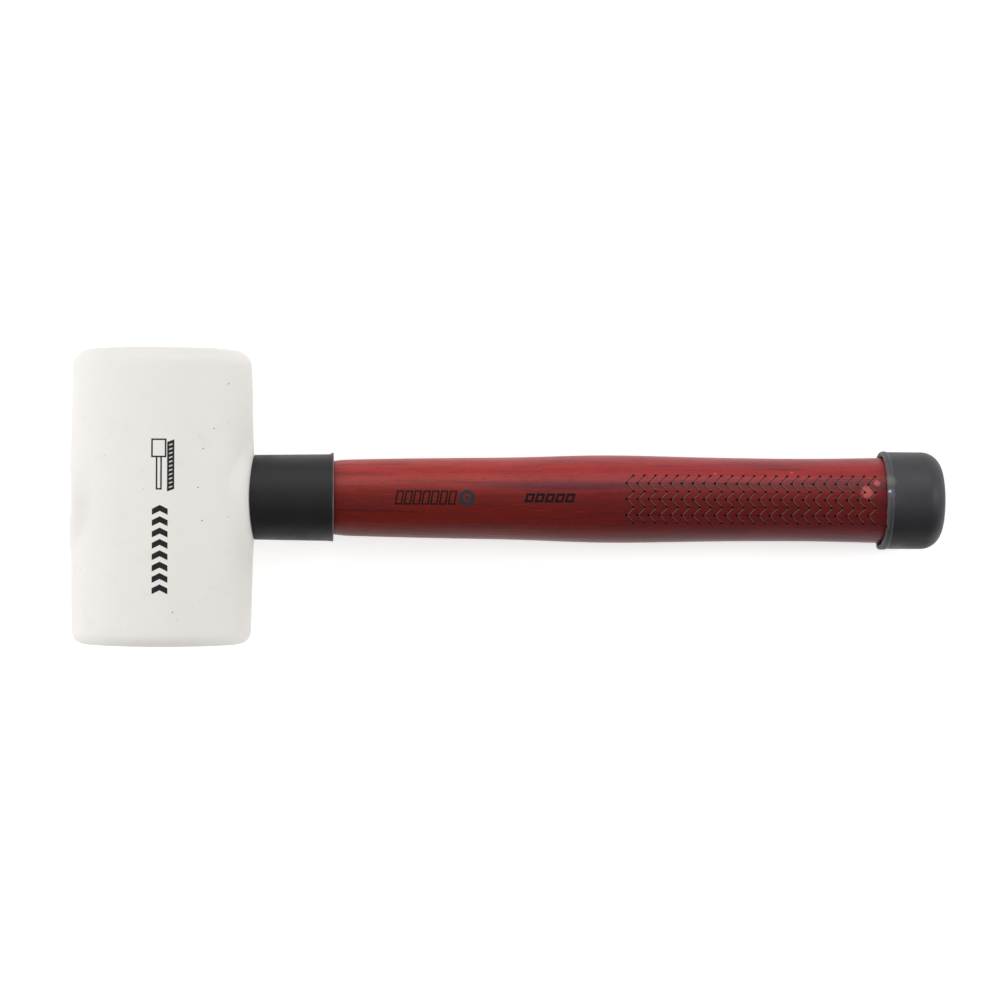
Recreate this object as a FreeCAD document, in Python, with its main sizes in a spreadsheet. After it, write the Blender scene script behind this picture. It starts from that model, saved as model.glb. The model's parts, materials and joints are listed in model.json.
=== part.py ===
import FreeCAD, Part
import math
import os

import Sketcher
from FreeCAD import Placement, Rotation, Vector

# A wooden-handled rubber mallet, lying on a bench.
#
# Every piece is drawn in the tool's own axes: X runs down the handle towards the butt, Y
# along the head from face to face, and both axes cross at the middle of the head. The
# finished pieces are then laid down together, so that the head and the butt cap both
# touch the bench at Z = 0.

# Driving sizes in millimetres: name, value, meaning.
SIZES = (
    ("head_radius", 36.05, "head, at the middle of its barrel"),
    ("head_end_radius", 35.0, "head, at either striking face"),
    ("head_half_length", 57.9, "middle of the head to a striking face"),
    ("front_rim_radius", 7.0, "rounding round the +Y striking face"),
    ("back_rim_radius", 5.0, "rounding round the -Y striking face"),
    ("eye_reach", 40.0, "distance from the head's middle at which the eye's radii are given"),
    ("eye_crown_radius", 12.7, "eye, on the side away from the handle"),
    ("eye_mouth_radius", 14.75, "eye, on the side where the handle goes in"),
    ("pad_radius", 19.0, "swelling of the rubber round either end of the eye"),
    ("face_height", 20.0, "half the height over which the swelling's faces are curved"),
    ("face_fall", 2.35, "distance by which they fall away at that height"),
    ("tenon_end", 34.6, "head's middle to the handle's end inside the eye"),
    ("collar_start", 36.2, "head's middle to the near end of the neck collar, at its sides"),
    ("collar_end", 67.5, "head's middle to the far end of the neck collar"),
    ("collar_head_radius", 16.75, "neck collar, outside, at the head"),
    ("collar_grip_radius", 17.15, "neck collar, outside, at the grip"),
    ("collar_lip_radius", 17.4, "neck collar, over the lip at its far end"),
    ("collar_lip_width", 1.4, "length of that lip"),
    ("neck_radius", 14.95, "wood, where it comes out of the neck collar"),
    ("shank_at", 100.0, "first control point of the grip's curve, from the head's middle"),
    ("shank_radius", 15.9, "its distance from the axis"),
    ("rise_at", 138.0, "second control point"),
    ("rise_radius", 16.1, "its distance from the axis"),
    ("shoulder_at", 158.0, "third control point"),
    ("shoulder_radius", 17.1, "its distance from the axis"),
    ("belly_at", 182.0, "fourth control point"),
    ("belly_radius", 17.6, "its distance from the axis"),
    ("fall_at", 210.0, "fifth control point"),
    ("fall_radius", 16.75, "its distance from the axis"),
    ("waist_at", 254.0, "sixth control point"),
    ("waist_radius", 16.3, "its distance from the axis"),
    ("flare_at", 270.0, "seventh control point"),
    ("flare_radius", 16.65, "its distance from the axis"),
    ("seat_radius", 17.0, "wood, inside the butt cap"),
    ("handle_end", 306.8, "head's middle to the end of the wood in the cap"),
    ("handle_end_chamfer", 1.5, "bevel round that end"),
    ("cap_start", 285.0, "head's middle to the mouth of the butt cap"),
    ("cap_shoulder", 309.45, "head's middle to the rim of the cap's domed end"),
    ("cap_end", 310.25, "head's middle to the crown of the butt cap"),
    ("cap_gate_radius", 2.0, "flat spot that the mould's gate leaves on that crown"),
    ("cap_radius", 19.35, "butt cap, outside"),
    ("cap_corner_radius", 7.9, "rounding at the closed end of the cap"),
    ("cap_bead_radius", 19.7, "butt cap, over the bead at its mouth"),
    ("cap_bead_width", 2.0, "length of the bead"),
    ("cap_mouth_rounding", 0.8, "rounding round the outer edge of the mouth"),
    ("wood_wedge_length", 24.0, "depth to which the wooden wedge is driven"),
    ("wood_wedge_back", 1.8, "half its thickness at the driven end"),
    ("kerf_half_width", 0.6, "half the saw cut it is driven into, and half its own tip"),
    ("kerf_depth", 32.0, "depth of that saw cut"),
    ("steel_wedge_length", 15.0, "depth to which each steel wedge is driven"),
    ("steel_wedge_back", 1.0, "half its thickness at the driven end"),
    ("steel_wedge_tip", 0.25, "half its thickness at the tip"),
    ("steel_wedge_width", 15.0, "its width across the wooden wedge"),
    ("steel_wedge_offset", 6.2, "distance of each from the middle of the tenon"),
    ("overshoot", 2.0, "how far a cutting outline runs past the material it removes"),
)

# The two steel wedges, and the side of the tenon's middle that each is on.
STEEL_WEDGES = {"steel_wedge_left": 1, "steel_wedge_right": -1}

PAD = "PartDesign::Pad"
POCKET = "PartDesign::Pocket"
REVOLUTION = "PartDesign::Revolution"
GROOVE = "PartDesign::Groove"

TOUCH = 1e-6


def size_sheet(doc):
    """The spreadsheet that holds every driving size under its own name."""
    sheet = doc.addObject("Spreadsheet::Sheet", "Sizes")
    for row, (name, value, meaning) in enumerate(SIZES, start=1):
        sheet.set("A%d" % row, name)
        sheet.set("B%d" % row, str(value))
        sheet.set("C%d" % row, meaning)
        sheet.setAlias("B%d" % row, name)
    doc.recompute()
    return sheet


def new_body(doc, label):
    body = doc.addObject("PartDesign::Body", label)
    body.Label = label
    return body


def origin_plane(body, role):
    return next(item for item in body.Origin.OriginFeatures if item.Role == role)


class Outline:
    """A closed sketch outline, drawn edge by edge, with every corner bound to the sheet.

    A corner is a pair of expressions: its place along the sketch's own two axes.
    """

    def __init__(self, body, name, role, start):
        self.sketch = body.newObject("Sketcher::SketchObject", name)
        self.sketch.AttachmentSupport = [(origin_plane(body, role), "")]
        self.sketch.MapMode = "FlatFace"
        self.start = start
        self.here = self.place(start)
        self.first_end = None
        self.last_end = None

    def value(self, expression):
        return float(self.sketch.evalExpression(expression))

    def place(self, corner):
        return Vector(self.value(corner[0]), self.value(corner[1]), 0)

    def tie(self, kind, *ends):
        return self.sketch.addConstraint(Sketcher.Constraint(kind, *ends))

    def pin(self, edge, end, corner):
        """Hold one point of an edge at a corner."""
        for kind, expression in zip(("DistanceX", "DistanceY"), corner):
            number = self.tie(kind, -1, 1, edge, end, self.value(expression))
            self.sketch.setExpression("Constraints[%d]" % number, expression)

    def add(self, geometry, corner):
        """Add an edge from here to a corner, joined to the edge before it."""
        edge = self.sketch.addGeometry(geometry, False)
        forward = self.sketch.Geometry[edge].StartPoint.distanceToPoint(self.here) < TOUCH
        near, far = (1, 2) if forward else (2, 1)
        if self.last_end is None:
            self.first_end = (edge, near)
            self.pin(edge, near, self.start)
        else:
            self.tie("Coincident", *self.last_end, edge, near)
        if corner == self.start:
            self.tie("Coincident", edge, far, *self.first_end)
        else:
            self.pin(edge, far, corner)
        self.last_end = (edge, far)
        self.here = self.place(corner)
        return edge

    def line_to(self, *corners):
        for corner in corners:
            self.add(Part.LineSegment(self.here, self.place(corner)), corner)
        return self

    def arc(self, middle, corner):
        """A circular arc to a corner by way of a middle place, drawn anticlockwise."""
        ends = [self.here, self.place(corner)]
        if (middle - ends[0]).cross(ends[1] - middle).z < 0:
            ends.reverse()
        return self.add(Part.Arc(ends[0], middle, ends[1]), corner)

    def arc_to(self, middle, corner):
        """An arc to a corner that passes through a middle corner."""
        edge = self.arc(self.place(middle), corner)
        point = self.sketch.addGeometry(Part.Point(self.place(middle)), True)
        self.tie("PointOnObject", point, 1, edge)
        self.pin(point, 1, middle)
        return self

    def dome_to(self, corner):
        """A shallow arc to a corner, centred on the sketch's first axis."""
        tip = self.place(corner)
        centre = (tip.Length ** 2 - self.here.Length ** 2) / (2 * (tip.x - self.here.x))
        radius = math.hypot(tip.x - centre, tip.y)
        angle = (math.atan2(tip.y, tip.x - centre) + math.atan2(self.here.y, self.here.x - centre)) / 2
        middle = Vector(centre + radius * math.cos(angle), radius * math.sin(angle), 0)
        edge = self.arc(middle, corner)
        self.tie("PointOnObject", edge, 3, -1)
        return self

    def curve_to(self, controls, corner):
        """A smooth cubic curve to a corner, drawn towards each control point in turn."""
        poles = [self.here] + [self.place(control) for control in controls] + [self.place(corner)]
        spans = len(poles) - 3
        curve = Part.BSplineCurve()
        knots = [step / spans for step in range(spans + 1)]
        curve.buildFromPolesMultsKnots(poles, [4] + [1] * (spans - 1) + [4], knots, False, 3)
        edge = self.add(curve, corner)
        self.sketch.exposeInternalGeometry(edge)
        for number, control in enumerate(controls, start=2):
            self.pin(edge + number, 3, control)
        return self

    def close(self):
        return self.line_to(self.start)


def revolve(body, name, outline, axis, kind=REVOLUTION):
    """Turn an outline once round a sketch axis, to add material or to groove it away."""
    feature = body.newObject(kind, name)
    feature.Profile = outline.sketch
    feature.ReferenceAxis = (outline.sketch, [axis])
    feature.Angle = 360
    return feature


def through_both_ways(body, name, outline, width, kind):
    """Pad or pocket an outline evenly to both sides of its plane."""
    feature = body.newObject(kind, name)
    feature.Profile = outline.sketch
    feature.SideType = "Symmetric"
    feature.setExpression("Length", width)
    return feature


def round_rim(body, name, base, centre, rim_radius, rounding):
    """Round the circular edge that has a given centre and radius."""
    body.Document.recompute()
    for number, edge in enumerate(base.Shape.Edges, start=1):
        circle = edge.Curve
        if not isinstance(circle, Part.Circle) or abs(circle.Radius - rim_radius) > TOUCH:
            continue
        if circle.Center.distanceToPoint(centre) < TOUCH:
            feature = body.newObject("PartDesign::Fillet", name)
            feature.Base = (base, ["Edge%d" % number])
            feature.setExpression("Radius", rounding)
            return feature
    raise RuntimeError("%s finds no edge to round" % name)


def eye_radius_at(place):
    """Expression for the radius of the tapered eye at a place along X."""
    slope = "(Sizes.eye_mouth_radius - Sizes.eye_crown_radius) / (2 * Sizes.eye_reach)"
    return "Sizes.eye_crown_radius + (Sizes.eye_reach + (%s)) * %s" % (place, slope)


def cut_eye_face(body, name, side, crest, far):
    """Cut a body off along a curved face round the eye, from the face's crest to a far place.

    The face bulges towards the handle's butt if side is 1, and away from it if side is -1.
    """
    edge = "%s - %d * Sizes.face_fall" % (crest, side)
    face = Outline(body, name + "_outline", "XZ_Plane", (edge, "-Sizes.face_height"))
    face.arc_to((crest, "0"), (edge, "Sizes.face_height"))
    face.line_to((far, "Sizes.face_height"), (far, "-Sizes.face_height")).close()
    return through_both_ways(body, name, face, "2 * Sizes.face_height", POCKET)


def rubber_head(doc, sheet):
    """Moulded barrel of rubber along Y, with the tapered eye bored through it along X."""
    body = new_body(doc, "rubber_head")
    barrel = Outline(body, "head_outline", "XY_Plane", ("0", "-Sizes.head_half_length"))
    barrel.line_to(("Sizes.head_end_radius", "-Sizes.head_half_length"))
    barrel.arc_to(("Sizes.head_radius", "0"), ("Sizes.head_end_radius", "Sizes.head_half_length"))
    barrel.line_to(("0", "Sizes.head_half_length")).close()
    turned = revolve(body, "head_barrel", barrel, "V_Axis")
    face = Vector(0, sheet.head_half_length, 0)
    radius = sheet.head_end_radius
    front = round_rim(body, "front_rim", turned, face, radius, "Sizes.front_rim_radius")
    round_rim(body, "back_rim", front, -face, radius, "Sizes.back_rim_radius")

    mouth = "Sizes.head_radius + Sizes.overshoot"
    crown = "-Sizes.head_radius - Sizes.overshoot"
    pad = Outline(body, "pad_outline", "XY_Plane", (crown, "0"))
    pad.line_to((crown, "Sizes.pad_radius"), (mouth, "Sizes.pad_radius"), (mouth, "0")).close()
    revolve(body, "pads", pad, "H_Axis")

    bore = Outline(body, "eye_outline", "XY_Plane", ("-Sizes.eye_reach", "0"))
    bore.line_to(
        ("-Sizes.eye_reach", "Sizes.eye_crown_radius"),
        ("Sizes.eye_reach", "Sizes.eye_mouth_radius"),
        ("Sizes.eye_reach", "0"),
    ).close()
    revolve(body, "eye", bore, "H_Axis", GROOVE)
    cut_eye_face(body, "mouth_face", 1, "Sizes.head_radius", mouth + " + Sizes.overshoot")
    cut_eye_face(body, "crown_face", -1, "-Sizes.head_radius", crown + " - Sizes.overshoot")
    return body


def wood_wedge_outline(body, name):
    """Side view of the wooden wedge, in the XZ plane."""
    back = "-Sizes.tenon_end"
    tip = "Sizes.wood_wedge_length - Sizes.tenon_end"
    wedge = Outline(body, name, "XZ_Plane", (back, "-Sizes.wood_wedge_back"))
    wedge.line_to(
        (tip, "-Sizes.kerf_half_width"),
        (tip, "Sizes.kerf_half_width"),
        (back, "Sizes.wood_wedge_back"),
    )
    return wedge.close()


def steel_wedge_outline(body, name, side):
    """Plan view of a steel wedge, in the XY plane: side is 1 towards +Y, or -1."""
    back = "-Sizes.tenon_end"
    tip = "Sizes.steel_wedge_length - Sizes.tenon_end"
    middle = "%d * Sizes.steel_wedge_offset" % side
    wedge = Outline(body, name, "XY_Plane", (back, middle + " - Sizes.steel_wedge_back"))
    wedge.line_to(
        (tip, middle + " - Sizes.steel_wedge_tip"),
        (tip, middle + " + Sizes.steel_wedge_tip"),
        (back, middle + " + Sizes.steel_wedge_back"),
    )
    return wedge.close()


def cut_steel_wedge_slots(body):
    """Slots that the two steel wedges fill, in whatever they are driven through."""
    for name, side in STEEL_WEDGES.items():
        slot = "%s_slot_in_%s" % (name, body.Label)
        outline = steel_wedge_outline(body, slot + "_outline", side)
        through_both_ways(body, slot, outline, "Sizes.steel_wedge_width", POCKET)


def handle(doc):
    """Turned hickory: tenon in the eye, neck, grip with a belly and a waist, capped butt."""
    body = new_body(doc, "handle")
    tenon_end = "-Sizes.tenon_end"
    wood = Outline(body, "handle_outline", "XY_Plane", (tenon_end, "0"))
    wood.line_to(
        (tenon_end, eye_radius_at(tenon_end)),
        ("Sizes.collar_start", eye_radius_at("Sizes.collar_start")),
        ("Sizes.collar_end", "Sizes.neck_radius"),
    )
    controls = [
        ("Sizes.%s_at" % name, "Sizes.%s_radius" % name)
        for name in ("shank", "rise", "shoulder", "belly", "fall", "waist", "flare")
    ]
    wood.curve_to(controls, ("Sizes.cap_start", "Sizes.seat_radius"))
    wood.line_to(
        ("Sizes.handle_end - Sizes.handle_end_chamfer", "Sizes.seat_radius"),
        ("Sizes.handle_end", "Sizes.seat_radius - Sizes.handle_end_chamfer"),
        ("Sizes.handle_end", "0"),
    ).close()
    revolve(body, "turned_handle", wood, "H_Axis")

    saw_cut = Outline(body, "kerf_outline", "XZ_Plane", (tenon_end, "-Sizes.kerf_half_width"))
    kerf_end = "Sizes.kerf_depth - Sizes.tenon_end"
    saw_cut.line_to(
        (kerf_end, "-Sizes.kerf_half_width"),
        (kerf_end, "Sizes.kerf_half_width"),
        (tenon_end, "Sizes.kerf_half_width"),
    ).close()
    through_both_ways(body, "kerf", saw_cut, "4 * Sizes.eye_mouth_radius", POCKET)
    spread = wood_wedge_outline(body, "wood_wedge_slot_outline")
    through_both_ways(body, "wood_wedge_slot", spread, "4 * Sizes.eye_mouth_radius", POCKET)
    cut_steel_wedge_slots(body)
    return body


def wood_wedge(doc):
    """Flat wooden wedge that opens the saw cut, trimmed all round to the eye."""
    body = new_body(doc, "wood_wedge")
    outline = wood_wedge_outline(body, "wood_wedge_outline")
    through_both_ways(body, "wedge_blank", outline, "4 * Sizes.eye_mouth_radius", PAD)
    inner = "Sizes.tenon_end + Sizes.overshoot"
    outside = "3 * Sizes.eye_mouth_radius"
    waste = Outline(body, "trim_outline", "XY_Plane", ("-(%s)" % inner, outside))
    waste.line_to(
        ("-(%s)" % inner, eye_radius_at("-(%s)" % inner)),
        (inner, eye_radius_at(inner)),
        (inner, outside),
    ).close()
    revolve(body, "trimmed_to_eye", waste, "H_Axis", GROOVE)
    cut_steel_wedge_slots(body)
    return body


def steel_wedge(doc, label, side):
    """Steel wedge driven across the wooden one."""
    body = new_body(doc, label)
    outline = steel_wedge_outline(body, label + "_outline", side)
    through_both_ways(body, label + "_plate", outline, "Sizes.steel_wedge_width", PAD)
    return body


def neck_collar(doc):
    """Rubber sleeve on the neck, which takes the blow of a missed stroke."""
    body = new_body(doc, "neck_collar")
    crest = "Sizes.collar_start"
    start = crest + " - Sizes.face_fall"
    end = "Sizes.collar_end"
    lip_start = end + " - Sizes.collar_lip_width"
    sleeve = Outline(body, "collar_outline", "XY_Plane", (start, eye_radius_at(start)))
    sleeve.line_to(
        (start, "Sizes.collar_head_radius"),
        (lip_start, "Sizes.collar_grip_radius"),
        (end, "Sizes.collar_lip_radius"),
        (end, "Sizes.neck_radius"),
        (crest, eye_radius_at(crest)),
    ).close()
    revolve(body, "collar_sleeve", sleeve, "H_Axis")
    cut_eye_face(body, "collar_near_face", 1, crest, start + " - Sizes.overshoot")
    return body


def butt_cap(doc, sheet):
    """Rubber cap pressed over the butt, with a bead at its mouth and a domed end."""
    body = new_body(doc, "butt_cap")
    mouth = "Sizes.cap_start"
    bead_end = "Sizes.cap_start + Sizes.cap_bead_width"
    shell = Outline(body, "cap_outline", "XY_Plane", (mouth, "Sizes.seat_radius"))
    shell.line_to(
        (mouth, "Sizes.cap_bead_radius"),
        (bead_end, "Sizes.cap_bead_radius"),
        (bead_end, "Sizes.cap_radius"),
        ("Sizes.cap_shoulder", "Sizes.cap_radius"),
    )
    shell.dome_to(("Sizes.cap_end", "Sizes.cap_gate_radius"))
    shell.line_to(("Sizes.cap_end", "0"))
    shell.line_to(("Sizes.handle_end", "0"), ("Sizes.handle_end", "Sizes.seat_radius")).close()
    turned = revolve(body, "cap_shell", shell, "H_Axis")
    shoulder = Vector(sheet.cap_shoulder, 0, 0)
    closed = round_rim(body, "cap_corner", turned, shoulder, sheet.cap_radius, "Sizes.cap_corner_radius")
    rim = Vector(sheet.cap_start, 0, 0)
    round_rim(body, "cap_mouth", closed, rim, sheet.cap_bead_radius, "Sizes.cap_mouth_rounding")
    return body


def resting_place(sheet):
    """Placement that lays the tool down, head and butt cap both touching the bench.

    The handle dips by the angle at which the rounded corner of the cap comes down to the
    bench. The origin is on the bench, below the middle of the whole tool.
    """
    corner_at = sheet.cap_shoulder - sheet.cap_corner_radius
    corner_radius = sheet.cap_radius - sheet.cap_corner_radius
    drop = sheet.head_radius - sheet.cap_corner_radius
    dip = math.asin(drop / math.hypot(corner_at, corner_radius)) - math.atan2(corner_radius, corner_at)
    middle = (sheet.cap_end - sheet.head_radius) / 2
    return Placement(Vector(-middle, 0, sheet.head_radius), Rotation(Vector(0, 1, 0), math.degrees(dip)))


def check(doc, pieces):
    """Stop if any feature failed, or any piece isn't one or more sound solids."""
    for item in doc.Objects:
        if {"Invalid", "Error"} & set(item.State):
            raise RuntimeError("%s failed: %s" % (item.Label, item.State))
    for piece in pieces:
        if piece.Shape.isNull() or not piece.Shape.isValid() or not piece.Shape.Solids:
            raise RuntimeError("%s has no sound solid" % piece.Label)


def main():
    doc = FreeCAD.newDocument("mallet")
    sheet = size_sheet(doc)
    pieces = [rubber_head(doc, sheet), handle(doc), neck_collar(doc), butt_cap(doc, sheet)]
    pieces.append(wood_wedge(doc))
    pieces += [steel_wedge(doc, label, side) for label, side in STEEL_WEDGES.items()]
    doc.recompute()
    place = resting_place(sheet)
    for piece in pieces:
        piece.Placement = place
    doc.recompute()
    check(doc, pieces)
    os.makedirs("parts", exist_ok=True)
    for piece in pieces:
        piece.Shape.exportStep(os.path.join("parts", piece.Label + ".step"))
        print("%-20s %10.1f mm3" % (piece.Label, piece.Shape.Volume))


main()
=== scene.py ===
import json
import math

import bpy
import numpy as np
from mathutils import Matrix, Vector, noise


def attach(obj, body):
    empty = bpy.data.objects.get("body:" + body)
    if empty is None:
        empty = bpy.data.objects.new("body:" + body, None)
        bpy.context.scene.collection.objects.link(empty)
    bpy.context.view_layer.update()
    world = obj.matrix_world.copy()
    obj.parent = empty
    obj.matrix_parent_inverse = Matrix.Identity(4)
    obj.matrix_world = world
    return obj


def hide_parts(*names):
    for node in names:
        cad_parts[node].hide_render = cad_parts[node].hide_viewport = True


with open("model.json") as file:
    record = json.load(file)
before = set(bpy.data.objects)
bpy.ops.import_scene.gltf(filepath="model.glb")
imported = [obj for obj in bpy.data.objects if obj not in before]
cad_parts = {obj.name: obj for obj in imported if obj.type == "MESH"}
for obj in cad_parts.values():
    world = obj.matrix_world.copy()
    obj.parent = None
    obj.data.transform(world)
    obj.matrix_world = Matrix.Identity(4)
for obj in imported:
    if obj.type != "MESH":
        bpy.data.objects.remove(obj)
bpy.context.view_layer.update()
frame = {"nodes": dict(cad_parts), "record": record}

# A wooden-handled rubber mallet that lies on a bench.
#
# The pieces are drawn in the tool's own axes, as the CAD is: X runs down the handle, Y along
# the head and Z up out of the bench, with the origin in the middle of the head. Lengths are
# in metres, and MM turns millimetres into them.

MM = 0.001
MOUNTS = {mount["name"]: mount for mount in frame["record"]["mounts"]}


# ---------------- the tool's axes and sizes


def tool_axes():
    """The place of the tool's own axes in the row frame."""
    front = Vector(MOUNTS["strike_face_front"]["pos_m"])
    back = Vector(MOUNTS["strike_face_back"]["pos_m"])
    down_handle = Vector(MOUNTS["cap_band"]["axis"]).normalized()
    along_head = (front - back).normalized()
    up = down_handle.cross(along_head)
    turn = Matrix((down_handle, along_head, up)).transposed().to_4x4()
    return Matrix.Translation((front + back) / 2) @ turn


TOOL = tool_axes()


def tool_points(node):
    """The corners of a CAD node's mesh, in the tool's own axes, as an array."""
    inverse = np.array(TOOL.inverted())
    points = np.array([vertex.co for vertex in frame["nodes"][node].data.vertices])
    return points @ inverse[:3, :3].T + inverse[:3, 3]


def smoothstep(low, high, value):
    """A share that climbs smoothly from 0 at the low limit to 1 at the high one."""
    share = np.clip((value - low) / (high - low), 0.0, 1.0)
    return share * share * (3 - 2 * share)


def radii_between(points, low, high, floor=5 * MM):
    """Places along X between two limits, and distances from the X axis, of mesh corners."""
    radii = np.hypot(points[:, 1], points[:, 2])
    inside = (points[:, 0] >= low) & (points[:, 0] <= high) & (radii > floor)
    return points[inside, 0], radii[inside]


def radius_near(points, place):
    """The largest distance from the X axis of a turned piece's corners near a place."""
    return float(radii_between(points, place - 0.1 * MM, place + 0.1 * MM)[1].max())


HEAD = tool_points("rubber_head")
HANDLE = tool_points("handle")
COLLAR = tool_points("neck_collar")
CAP = tool_points("butt_cap")

HEAD_HALF = float(HEAD[:, 1].max())
# Rounding of the rims round the +Y striking face (1) and the -Y one (-1).
RIMS = {1: 7.0 * MM, -1: 5.0 * MM}
INK_THICKNESS = 0.04 * MM
TENON_END = float(HANDLE[:, 0].min())
HANDLE_END = float(HANDLE[:, 0].max())
COLLAR_START = float(COLLAR[:, 0][np.abs(COLLAR[:, 2]) < 1 * MM].min())
COLLAR_END = float(COLLAR[:, 0].max())
CAP_START = float(CAP[:, 0].min())
CAP_END = float(CAP[:, 0].max())

TENON_RADIUS = radius_near(HANDLE, TENON_END)
NECK_START_RADIUS = radius_near(HANDLE, COLLAR_START)
NECK_RADIUS = radius_near(HANDLE, COLLAR_END)
SEAT_RADIUS = radius_near(HANDLE, CAP_START)
COLLAR_LIP_RADIUS = radius_near(COLLAR, COLLAR_END)
CAP_BEAD_RADIUS = float(np.hypot(CAP[:, 1], CAP[:, 2]).max())

GRIP_CURVE = np.polynomial.Chebyshev.fit(*radii_between(HANDLE, COLLAR_END, CAP_START), 16)


def wood_radius(place):
    """Distance from the handle's axis to its surface at a place along X."""
    neck = np.interp(
        place,
        (TENON_END, COLLAR_START, COLLAR_END),
        (TENON_RADIUS, NECK_START_RADIUS, NECK_RADIUS),
    )
    bare = GRIP_CURVE(np.clip(place, COLLAR_END, CAP_START))
    return np.where(place < COLLAR_END, neck, np.where(place > CAP_START, SEAT_RADIUS, bare))


def eye_radius(place):
    """Distance from the handle's axis to the wall of the head's tapered eye."""
    slope = (NECK_START_RADIUS - TENON_RADIUS) / (COLLAR_START - TENON_END)
    return TENON_RADIUS + slope * (place - TENON_END)


def face_radius(side):
    """Radius of the flat part of a striking face, which is on the +Y side or the -Y side."""
    flat = np.abs(HEAD[:, 1] - side * HEAD_HALF) < 0.001 * MM
    return float(np.hypot(HEAD[flat, 0], HEAD[flat, 2]).max())


def barrel_fit():
    """Radius of the head's barrel as a straight line in the square of the place along Y.

    In the middle it is slimmer than the CAD's by twice the ink's thickness, for the ink to fit
    inside the CAD's box.
    """
    middle = float(HEAD[:, 0].max()) - 2 * INK_THICKNESS
    rim = face_radius(1) + RIMS[1]
    return (rim - middle) / (HEAD_HALF - RIMS[1]) ** 2, middle


# The CAD's swelling round the eye's mouth is found by these distances from the eye's axis, and
# by its place along X.
SWELLING_RING = (14.0 * MM, 18.9 * MM)
SWELLING_BEYOND = 32.0 * MM


def eye_face_fit():
    """Face of the swelling round either end of the eye, as a straight line in the square of Z."""
    around = np.hypot(HEAD[:, 1], HEAD[:, 2])
    near, far = SWELLING_RING
    face = (HEAD[:, 0] > SWELLING_BEYOND) & (around > near) & (around < far)
    return np.polyfit(HEAD[face, 2] ** 2, HEAD[face, 0], 1)


BARREL = barrel_fit()
EYE_FACE = eye_face_fit()


def barrel_radius(place):
    """Radius of the head's barrel at a place along Y."""
    return np.polyval(BARREL, np.square(place))


# ---------------- building meshes


def add_object(name, data):
    """A new object in the scene."""
    made = bpy.data.objects.new(name, data)
    bpy.context.scene.collection.objects.link(made)
    return made


class Skin:
    """Points and faces of one piece, in the tool's own axes, with masks for its material."""

    def __init__(self):
        self.points = []
        self.faces = []
        self.masks = {}

    def add_points(self, points, **masks):
        """Add points and return their numbers. A mask is one value, or one for each point."""
        first = len(self.points)
        count = len(points)
        self.points.extend(tuple(map(float, point)) for point in points)
        for name, values in masks.items():
            mask = self.masks.setdefault(name, [])
            mask.extend([0.0] * (first - len(mask)))
            mask.extend(np.broadcast_to(values, count).tolist())
        return list(range(first, first + count))

    def add_face(self, corners):
        if len(set(corners)) == len(corners):
            self.faces.append(tuple(corners))

    def bridge(self, near, far, closed=True):
        """Quads between two rows of points. The rows are rings if closed."""
        count = len(near)
        for step in range(count if closed else count - 1):
            after = (step + 1) % count
            self.add_face((near[step], near[after], far[after], far[step]))

    def lid(self, ring, centre):
        """Close a ring with a fan of triangles round a centre."""
        middle = self.add_points([centre])[0]
        for step, point in enumerate(ring):
            self.add_face((point, ring[(step + 1) % len(ring)], middle))

    def loft(self, bands, turns):
        """Rings about X, joined in turn, from rows of a place, a radius and a share of wear and
        painted highlight.
        """
        rings = []
        for place, radius, worn in bands:
            rings.append(self.add_points(turned(place, radius, turns), worn=worn))
        for near, far in zip(rings, rings[1:]):
            self.bridge(near, far)
        return rings

    def piece(self, name, finish, sharp=40):
        """Make the object, smooth except at edges sharper than an angle in degrees."""
        mesh = bpy.data.meshes.new(name)
        mesh.from_pydata(self.points, [], self.faces)
        mesh.materials.append(finish)
        for mask_name, values in self.masks.items():
            values.extend([0.0] * (len(self.points) - len(values)))
            mask = mesh.attributes.new(mask_name, "FLOAT", "POINT")
            mask.data.foreach_set("value", values)
        mesh.polygons.foreach_set("use_smooth", [True] * len(self.faces))
        mesh.set_sharp_from_angle(angle=math.radians(sharp))
        mesh.transform(TOOL)
        mesh.validate()
        return add_object(name, mesh)


def turned(places, radii, angles):
    """Points of rings about X: one row for each place, one column for each angle from +Z."""
    places, radii, angles = np.broadcast_arrays(places, radii, angles)
    return np.stack([places, radii * np.sin(angles), radii * np.cos(angles)], axis=-1)


def bored(places, radii, angles):
    """Points of one ring about X, for angles from +Y."""
    places = np.broadcast_to(places, np.shape(angles))
    return np.stack([places, radii * np.cos(angles), radii * np.sin(angles)], axis=-1)


def finish_piece(made, slot, *nodes):
    """Let a piece ride on the tool and stand for CAD nodes, which it hides. The slot is not used.
    """
    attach(made, "root")
    if nodes:
        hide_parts(*nodes)
    return made


# ---------------- materials


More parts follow.
